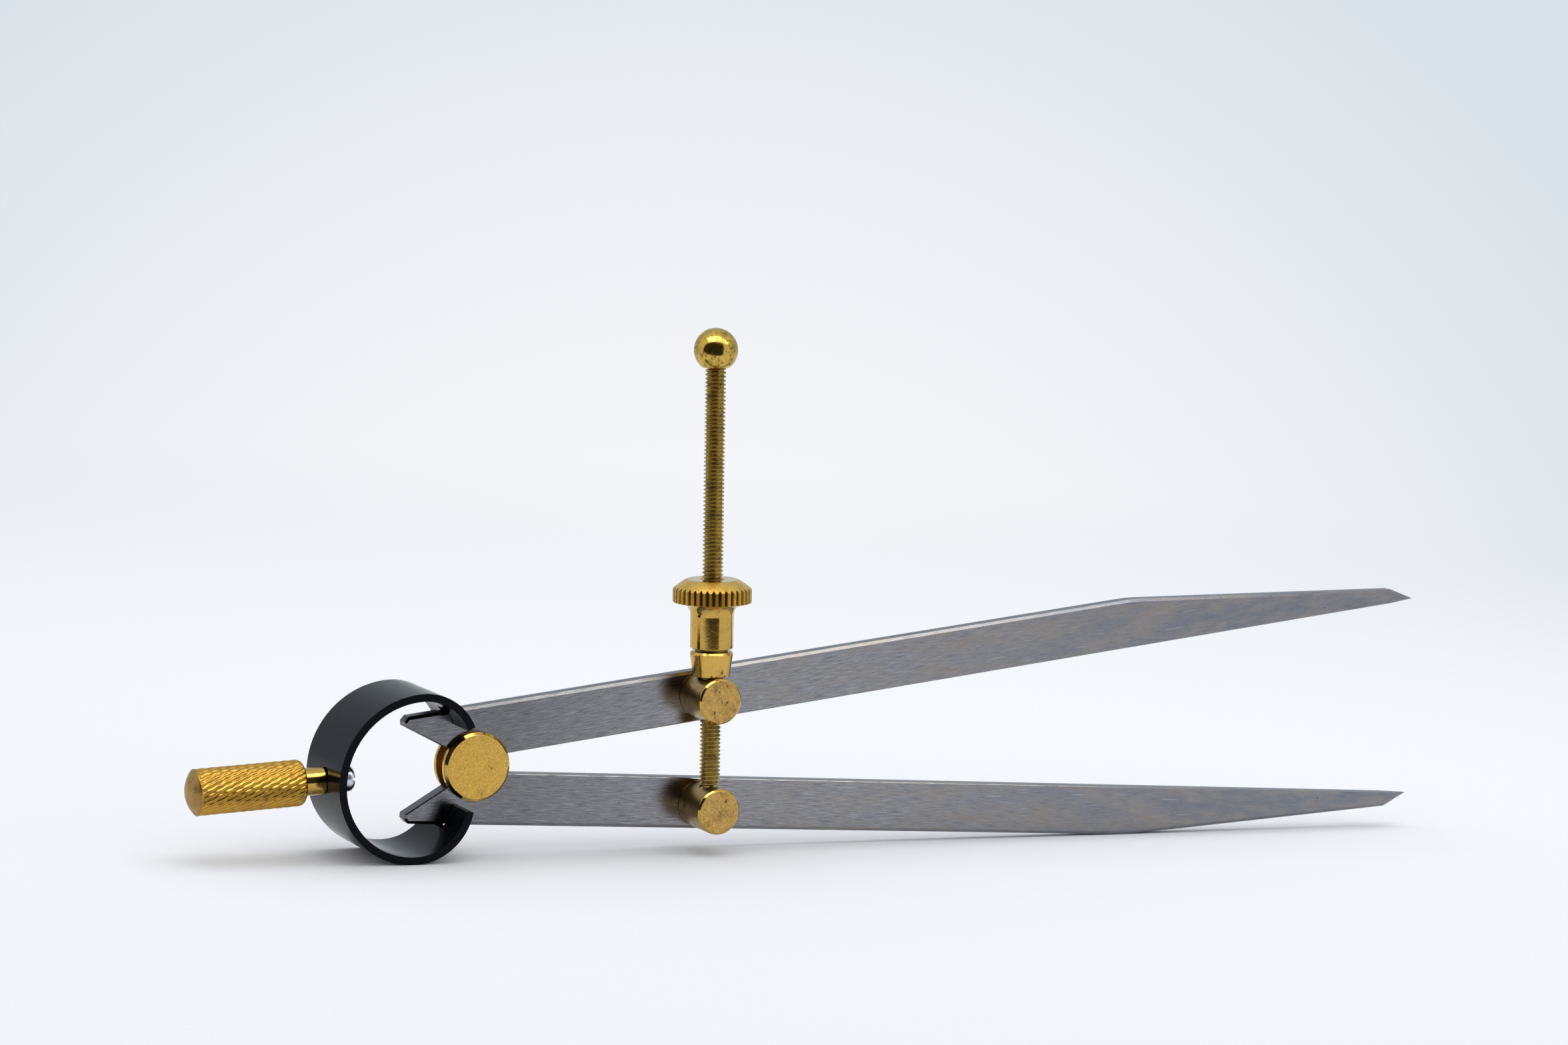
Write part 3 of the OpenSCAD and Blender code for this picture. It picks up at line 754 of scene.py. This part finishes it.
stud_line = rounded([(0, stud_front, 0), (stud_r - stud_chamfer_in, stud_front, 0.12),
                     (stud_r, stud_front + stud_chamfer_back, 0.2), (stud_r, stud_back, 0.12),
                     (journal_r, stud_back, 0), (journal_r, stud_rear, 0), (peen_r, stud_rear, 0.1),
                     (peen_r - peen_taper, stud_rear + peen_height, 0.25), (0, stud_rear + peen_height, 0)])
pip = [Vector((r, stud_front + deep)) for r, deep in ((0, 0.12), (0.12, 0.1), (0.3, 0.01), (0.4, 0))]
ring_line = rounded([(journal_r + journal_gap, leg_side, 0), (peen_r + ring_over, leg_side, 0.12),
                     (peen_r + ring_over, leg_side + ring_thickness, 0.12),
                     (journal_r + journal_gap, leg_side + ring_thickness, 0)])
for side, node, body in ((-1, "lower_stud", "screw"), (1, "upper_stud", "swivel")):
    stud = on_bench(as_mesh(spin(pip + stud_line[1:], 112), node + "_head"), node + "_head")
    hole_r = screw_hole_r if side > 0 else spigot_r + spigot_gap
    hole_from = -3 * stud_r if side > 0 else -spigot_depth - spigot_gap
    hole_to = 3 * stud_r
    drilled = Matrix.Translation((0, screw_front, (hole_from + hole_to) / 2))
    drill = bmesh.new()
    bmesh.ops.create_cone(drill, cap_ends=True, segments=64, radius1=hole_r, radius2=hole_r,
                          depth=hole_to - hole_from, matrix=upright.inverted() @ drilled)
    cut_away(stud, drill, "screw hole")
    mesh = as_turned(worked(stud))
    for face in mesh.polygons:
        on_face = math.hypot(face.center.x, face.center.y) < face_r and face.center.z < face_back
        face.material_index = 2 if face.center.z > side_from else 1 if on_face else 0
    fit(node + "_head", mesh, at_stud(side) @ upright, [bright_brass, faced_brass, stud_brass], node, body)
    ring_mesh = as_turned(as_mesh(spin(ring_line, 72, True), node + "_ring"))
    fit(node + "_ring", ring_mesh, at_stud(side) @ upright, [steel_washer], node + "_washer", body)


# Adjusting screw: a brass rod with a rolled right-hand thread, gone olive and brown in its grooves.
# Its plain foot is pressed into the lower stud, and the ball is pressed on its upper end.
thread_r = 1.85
thread_pitch = 0.7
thread_root = 1.423
thread_from = 3.9
thread_to = 78.44
thread_lead_in = 0.2
foot_taper = 0.35
tenon_r = 1.3
tenon_length = 2.6
tenon_gap = 0.02
base_share = 0.48
crest_share = 0.08
ridge_sunk = -0.02

# Tarnished brass: olive and dull, nearly brown where it is not rubbed
olive_brass = turned_metal("tarnished_brass", "#b8a160", "#877646", "#2c2110", gloss=0.28, tarnish=0.5,
                           specks=1.4, spots=0.3, lines=0.2)
core_line = [Vector(spot) for spot in (
    (0, -spigot_depth), (spigot_r, -spigot_depth), (spigot_r, thread_from - foot_taper),
    (thread_root, thread_from), (thread_root, thread_to - tenon_gap), (tenon_r, thread_to - tenon_gap),
    (tenon_r, thread_to + tenon_length), (0, thread_to + tenon_length))]
core = on_bench(as_mesh(spin(core_line, 48), "threaded_rod"), "threaded_rod")

thread, given = piece_tree("wound thread", ("Root Radius", "Crest Radius", "Pitch", "Start", "Length"))
turns = add(thread, "ShaderNodeMath", [given["Length"], given["Pitch"]], operation="DIVIDE")
helix = add(thread, "GeometryNodeCurveSpiral", {
    "Resolution": 40, "Rotations": turns, "Start Radius": given["Root Radius"],
    "End Radius": given["Root Radius"], "Height": given["Length"], "Reverse": True})
held = add(thread, "GeometryNodeSetCurveNormal", [helix], mode="Z_UP")
ridge = add(thread, "ShaderNodeMath", [given["Crest Radius"], given["Root Radius"]], operation="SUBTRACT")
corners = {}
for k, (out, share) in enumerate(((ridge_sunk, -base_share), (ridge, -crest_share), (ridge, crest_share),
                                  (ridge_sunk, base_share))):
    up = add(thread, "ShaderNodeMath", [given["Pitch"], share], operation="MULTIPLY")
    corners[f"Point {k + 1}"] = add(thread, "ShaderNodeCombineXYZ", [out, up])
section = add(thread, "GeometryNodeCurvePrimitiveQuadrilateral", corners, mode="POINTS")
swept = add(thread, "GeometryNodeCurveToMesh", {"Curve": held, "Profile Curve": section, "Fill Caps": True})
lift = add(thread, "ShaderNodeCombineXYZ", {2: given["Start"]})
raised = add(thread, "GeometryNodeTransform", {"Geometry": swept, "Translation": lift})
rod = add(thread, "GeometryNodeJoinGeometry")
for shape in (raised.outputs[0], given["Geometry"]):
    thread.links.new(shape, rod.inputs[0])
end_tree(thread, rod, given)

wound_length = thread_to - thread_from - 2 * thread_lead_in
rod_mesh = run_nodes(core, thread, root_radius=thread_root, crest_radius=thread_r, pitch=thread_pitch,
                     start=thread_from + thread_lead_in, length=wound_length, material=olive_brass)
on_screw = Matrix.Translation((0, screw_front, 0))
fit("threaded_rod", as_turned(rod_mesh, 25), at_stud(-1) @ on_screw, [olive_brass], "adjusting_screw",
    "screw")


# Ball knob: turned brass ball, polished once and since spotted with brown tarnish, cut flat below
# and pressed on the rod so that the nut can't run off.
ball_at = 81.5
ball_r = 3.9
ball_flat = 3.06
ball_lip = 0.12
ball_steps = 40
socket_r = 1.32
socket_end = -ball_flat + 2.7

# Spotted brass: still polished, with crowded brown stains under half a millimetre wide
spotted_brass = turned_metal("spotted_brass", "#cba94f", "#a2853f", "#6a5226", gloss=0.1, tarnish=0.55,
                             specks=2.6, spots=0.75)
flat_edge = math.acos(ball_flat / ball_r)
lip_edge = flat_edge + ball_lip
ball_line = [Vector((0, socket_end)), Vector((socket_r, socket_end))]
ball_line += rounded([(socket_r, -ball_flat, 0), (ball_r * math.sin(flat_edge), -ball_flat, 0.15),
                      (ball_r * math.sin(lip_edge), -ball_r * math.cos(lip_edge), 0)])
for k in range(1, ball_steps + 1):
    swing = lip_edge + (math.pi - lip_edge) * k / ball_steps
    ball_line.append(Vector((max(0.0, ball_r * math.sin(swing)), -ball_r * math.cos(swing))))
ball_mesh = as_turned(as_mesh(spin(ball_line, 96), "ball_brass"))
fit("ball_brass", ball_mesh, at_stud(-1) @ on_screw @ Matrix.Translation((0, 0, ball_at)), [spotted_brass],
    "ball_knob", "screw")


# Nut seat: a loose tapered collar, turned from brass with a chamfered rim, which takes the nut's
# thrust and rests on the side of the upper stud.
seat_low = 4.1
seat_top = 8.55
seat_low_r = 3.28
seat_top_r = 3.88
seat_rim_r = seat_top_r - 0.02
seat_chamfer_in = 0.3
seat_chamfer_down = 0.45

# Lined brass: bright, with turning lines deep enough to break up what it mirrors
lined_brass = turned_metal("lined_brass", "#cea853", "#b08b4d", gloss=0.13, specks=1.0, spots=0.25,
                           lines=0.8, grain=0.07)
collar = rounded([(screw_hole_r, seat_low, 0), (seat_low_r, seat_low, 0.1),
                  (seat_rim_r, seat_top - seat_chamfer_down, 0.12),
                  (seat_top_r - seat_chamfer_in, seat_top, 0.12), (screw_hole_r, seat_top, 0)])
collar_mesh = as_turned(as_mesh(spin(collar, 96, True), "nut_collar"))
fit("nut_collar", collar_mesh, at_stud(1) @ on_screw, [lined_brass], "nut_seat", "swivel")


# Adjusting nut: turned brass with a plain barrel, a hollow fillet and a domed rim cut with 38 V
# grooves for the fingers. One tooth is drawn and set round the axis.
nut_low = 9.1
nose_r = 2.9
nose_low = 8.6
barrel_r = 3.84
rim_low = 17.25
rim_high = 19.6
rim_r = 6.97
rim_edge = (0.1, 0.06)
fillet_r = 2.4
fillet_steps = 10
dome_top = 21.3
dome_top_r = 4.5
dome_bulge = 0.15
dome_rings = 10
nut_bore_r = 1.9
nut_bore_chamfer = 0.35
teeth = 38
tooth_over = 0.35
tooth_depth = 0.5


def nut_section(wall):
    """Half section of the nut where its toothed rim has a given radius."""
    line = rounded([(nut_bore_r, nose_low, 0), (nose_r, nose_low, 0), (nose_r, nut_low, 0),
                    (barrel_r, nut_low, 0.12), (barrel_r, rim_low - fillet_r - 0.04, 0),
                    (barrel_r, rim_low - fillet_r, 0)])
    for k in range(1, fillet_steps + 1):
        swing = math.pi / 2 * k / fillet_steps
        line.append(Vector((barrel_r + fillet_r * (1 - math.cos(swing)),
                            rim_low - fillet_r * (1 - math.sin(swing)))))
    line += [Vector((wall - rim_edge[0], rim_low)), Vector((wall, rim_low + rim_edge[1]))]
    first = (rim_r - wall) / (rim_r - dome_top_r)
    for k in range(dome_rings + 1):
        share = first + (1 - first) * k / dome_rings
        height = rim_high + (dome_top - rim_high) * share + dome_bulge * math.sin(math.pi * share)
        line.append(Vector((rim_r + (dome_top_r - rim_r) * share, height)))
    line += [Vector((dome_top_r - 0.05, dome_top)), Vector((nut_bore_r + nut_bore_chamfer, dome_top)),
             Vector((nut_bore_r, dome_top - nut_bore_chamfer))]
    return line


# Wiped brass on the dome, warm and soft, and darker brass in the grooves, also laid on the nose as painted
# shade
dome_brass = turned_metal("wiped_brass", "#dcb253", "#bd9547", gloss=0.27, lines=0.15)
groove_brass = turned_metal("groove_brass", "#7f6632", "#5a4822", "#2c2110", gloss=0.34, spots=0.2,
                            grain=0.1)
pitch_angle = 2 * math.pi / teeth
crest = Vector((rim_r + tooth_over, 0))
root = Vector((math.cos(pitch_angle / 2), math.sin(pitch_angle / 2))) * (rim_r - tooth_depth)
land = crest.lerp(root, tooth_over / (tooth_over + tooth_depth))
flank = land.lerp(root, 0.5)
cuts = [(-math.atan2(p.y, p.x), p.length) for p in (root, flank, land)] + [(0.0, rim_r)]
cuts += [(math.atan2(p.y, p.x), p.length) for p in (land, flank, root)]
bm = bmesh.new()
fans = []
for swing, wall in cuts:
    section = nut_section(min(wall, rim_r))
    fans.append([bm.verts.new((r * math.cos(swing), r * math.sin(swing), z)) for r, z in section])
for left, right in zip(fans, fans[1:]):
    for k in range(len(left)):
        after = (k + 1) % len(left)
        bm.faces.new((left[k], right[k], right[after], left[after]))
tooth = on_bench(as_mesh(bm, "knurled_nut"), "knurled_nut")

rim, given = piece_tree("ring of teeth", ("Teeth",), "NodeSocketInt")
points = add(rim, "GeometryNodeMeshLine", {"Count": given["Teeth"], "Offset": (0, 0, 0)})
number = add(rim, "GeometryNodeInputIndex")
part = add(rim, "ShaderNodeMath", [number, given["Teeth"]], operation="DIVIDE")
swung = add(rim, "ShaderNodeMath", [part, 2 * math.pi], operation="MULTIPLY")
facing = add(rim, "ShaderNodeCombineXYZ", {2: swung})
copies = add(rim, "GeometryNodeInstanceOnPoints", {"Points": points, "Instance": given["Geometry"],
                                                   "Rotation": facing})
made = add(rim, "GeometryNodeRealizeInstances", [copies])
joined = add(rim, "GeometryNodeMergeByDistance", {"Geometry": made, "Distance": 0.0005})
end_tree(rim, joined, given)
nut_mesh = as_turned(run_nodes(tooth, rim, teeth=teeth, material=bright_brass), 30)
for face in nut_mesh.polygons:
    on_rim = rim_low < face.center.z < dome_top - 0.02
    in_groove = math.hypot(face.center.x, face.center.y) < rim_r - 0.6 * tooth_depth
    face.material_index = 0 if not on_rim else 1 if face.normal.z > 0.3 else 3 if in_groove else 2
    # Painted shade: the nose and underside take the darker groove brass, for the shade in the gap over the
    # collar
    if face.center.z < nut_low + 0.01:
        face.material_index = 3
quarter = Matrix.Rotation(-math.pi / 2, 4, "Z")
fit("knurled_nut", nut_mesh, at_stud(1) @ on_screw @ quarter,
    [bright_brass, dome_brass, grip_brass, groove_brass], "adjusting_nut", "nut")


# Table and light: a pale paper table in a white tent, which fades into the tent's back. Light comes
# through the top, and polished metal shows a lamp over the front and the dark room in the tent's
# opening. Sizes are in metres.
table_r = 3.0
fade_from = 0.24
fade_to = 0.85
backdrop_heading = (0.432, 0.878, -0.2)
tent_glow = 0.86
to_camera = Vector((-0.46, -0.888, 0))
to_right = Vector((0.888, -0.46, 0))
knob = Vector((-0.035, -0.003, 0.093))
lamp_size = 0.7
lamp_energy = 1.6
lamp_place = Vector((0.02, 0, 0.68)) - to_camera * 0.08
strip_over = 0.357
strip_near = 0.07
strip_far = 0.3
opening_off = 0.18
opening = ((-0.48, 0.0), (0.16, 0.0), (0.16, 0.258), (-0.345, 0.258))

# White paper: matt, with fibres a millimetre long, clear where it runs out into the backdrop
paper, tree = blank_material("white_paper")
place = add(tree, "ShaderNodeTexCoord").outputs["Object"]
fibre = add(tree, "ShaderNodeTexNoise", {"Vector": place, "Scale": 900.0, "Detail": 2.0})
tint = add(tree, "ShaderNodeMix", {0: fibre, 6: linear("#f2f4f7"), 7: linear("#f5f7fa")},
           data_type="RGBA").outputs[2]
matt = add(tree, "ShaderNodeBsdfDiffuse", {"Color": tint})
gone = add(tree, "ShaderNodeBsdfTransparent")
away = add(tree, "ShaderNodeVectorMath", [place], operation="LENGTH").outputs["Value"]
fading = add(tree, "ShaderNodeMapRange", [away, fade_from, fade_to, 0.0, 1.0],
             interpolation_type="SMOOTHSTEP")
sheet = add(tree, "ShaderNodeMixShader", [fading, matt, gone])
add(tree, "ShaderNodeOutputMaterial", [sheet])
table = bpy.data.meshes.new("table_top")
bm = bmesh.new()
bmesh.ops.create_circle(bm, cap_ends=True, segments=96, radius=table_r)
bm.to_mesh(table)
bm.free()
table.materials.append(paper)
on_bench(table, "table_top")

# The tent's cloth: white behind the tool, bluish grey at the sides, and an even glow on matt things
world = bpy.data.worlds.new("white_tent")
bpy.context.scene.world = world
world.use_nodes = True
world.cycles.sampling_method = "NONE"
tree = world.node_tree
tree.nodes.clear()
path = add(tree, "ShaderNodeLightPath").outputs
shown = path["Is Camera Ray"]
for ray in ("Is Glossy Ray", "Is Transmission Ray"):
    shown = add(tree, "ShaderNodeMath", [shown, path[ray]], operation="MAXIMUM")
heading = add(tree, "ShaderNodeTexCoord").outputs["Generated"]
facing = add(tree, "ShaderNodeVectorMath", [heading, backdrop_heading],
             operation="DOT_PRODUCT").outputs["Value"]
turned_by = add(tree, "ShaderNodeMath", [facing], operation="ARCCOSINE")
half_turns = add(tree, "ShaderNodeMapRange", {0: turned_by, 2: math.pi})
cloth = add(tree, "ShaderNodeValToRGB", [half_turns])
stops = cloth.color_ramp.elements
for k, (spot, shade) in enumerate(((0.025, "#fafbfd"), (0.045, "#f4f5f9"), (0.07, "#eaedf2"),
                                   (0.1, "#d8e1e8"), (0.25, "#ccd6df"), (0.36, "#ccd6df"),
                                   (0.5, "#f3f4f8"))):
    stop = stops[k] if k < 2 else stops.new(spot)
    stop.position = spot
    stop.color = linear(shade)
wall = add(tree, "ShaderNodeBackground", [cloth, 1.0])
glow = add(tree, "ShaderNodeBackground", [linear("#f3f4f7"), tent_glow])
tent = add(tree, "ShaderNodeMixShader", [shown, glow, wall])
add(tree, "ShaderNodeOutputWorld", [tent])

lamp_data = bpy.data.lights.new("tent_top", "AREA")
lamp_data.size = lamp_size
lamp_data.energy = lamp_energy
lamp = on_bench(lamp_data, "tent_top")
lamp.location = lamp_place
lamp.visible_camera = False
lamp.visible_glossy = False


def panel(name, corners, shade, strength):
    """A flat glowing panel that shows in polished metal and lights nothing else."""
    material, tree = blank_material(name)
    shine = add(tree, "ShaderNodeEmission", [linear(shade), strength])
    add(tree, "ShaderNodeOutputMaterial", [shine])
    mesh = bpy.data.meshes.new(name)
    mesh.from_pydata(corners, [], [range(len(corners))])
    mesh.materials.append(material)
    obj = on_bench(mesh, name)
    obj.visible_camera = False
    obj.visible_shadow = False
    obj.visible_diffuse = False


lamp_at = knob + Vector((0, 0, strip_over))
for name, first, last, strength in (("lamp_strip", -0.31, 0.17, 5.0), ("lamp_edge", 0.17, 0.6, 2.8)):
    panel(name, [lamp_at + to_camera * forward + to_right * right for forward, right in
                 ((strip_near, first), (strip_near, last), (strip_far, last), (strip_far, first))],
          "#fffdf8", strength)
sill = Vector((knob.x, knob.y, 0)) + to_camera * opening_off
panel("tent_opening", [sill + to_right * r + Vector((0, 0, h)) for r, h in opening], "#3a3838", 1.0)


# Camera: an 85 mm lens, low in front of the tool and nearer its handle, with the whole tool in view.
camera_place = (-0.320317, -0.584715, 0.122916)
across = Vector((0.88905, -0.45348, 0.06284))
upward = Vector((-0.01163, 0.11483, 0.99332))
camera_data = bpy.data.cameras.new("camera")
camera_data.lens = 85
camera_data.sensor_width = 36
camera_data.clip_start = 0.01
camera = on_bench(camera_data, "camera")
behind = across.cross(upward)
rows = [(across[k], upward[k], behind[k], camera_place[k]) for k in range(3)]
camera.matrix_world = Matrix(rows + [(0, 0, 0, 1)])
bpy.context.scene.camera = camera
bpy.context.scene.view_settings.view_transform = "Standard"
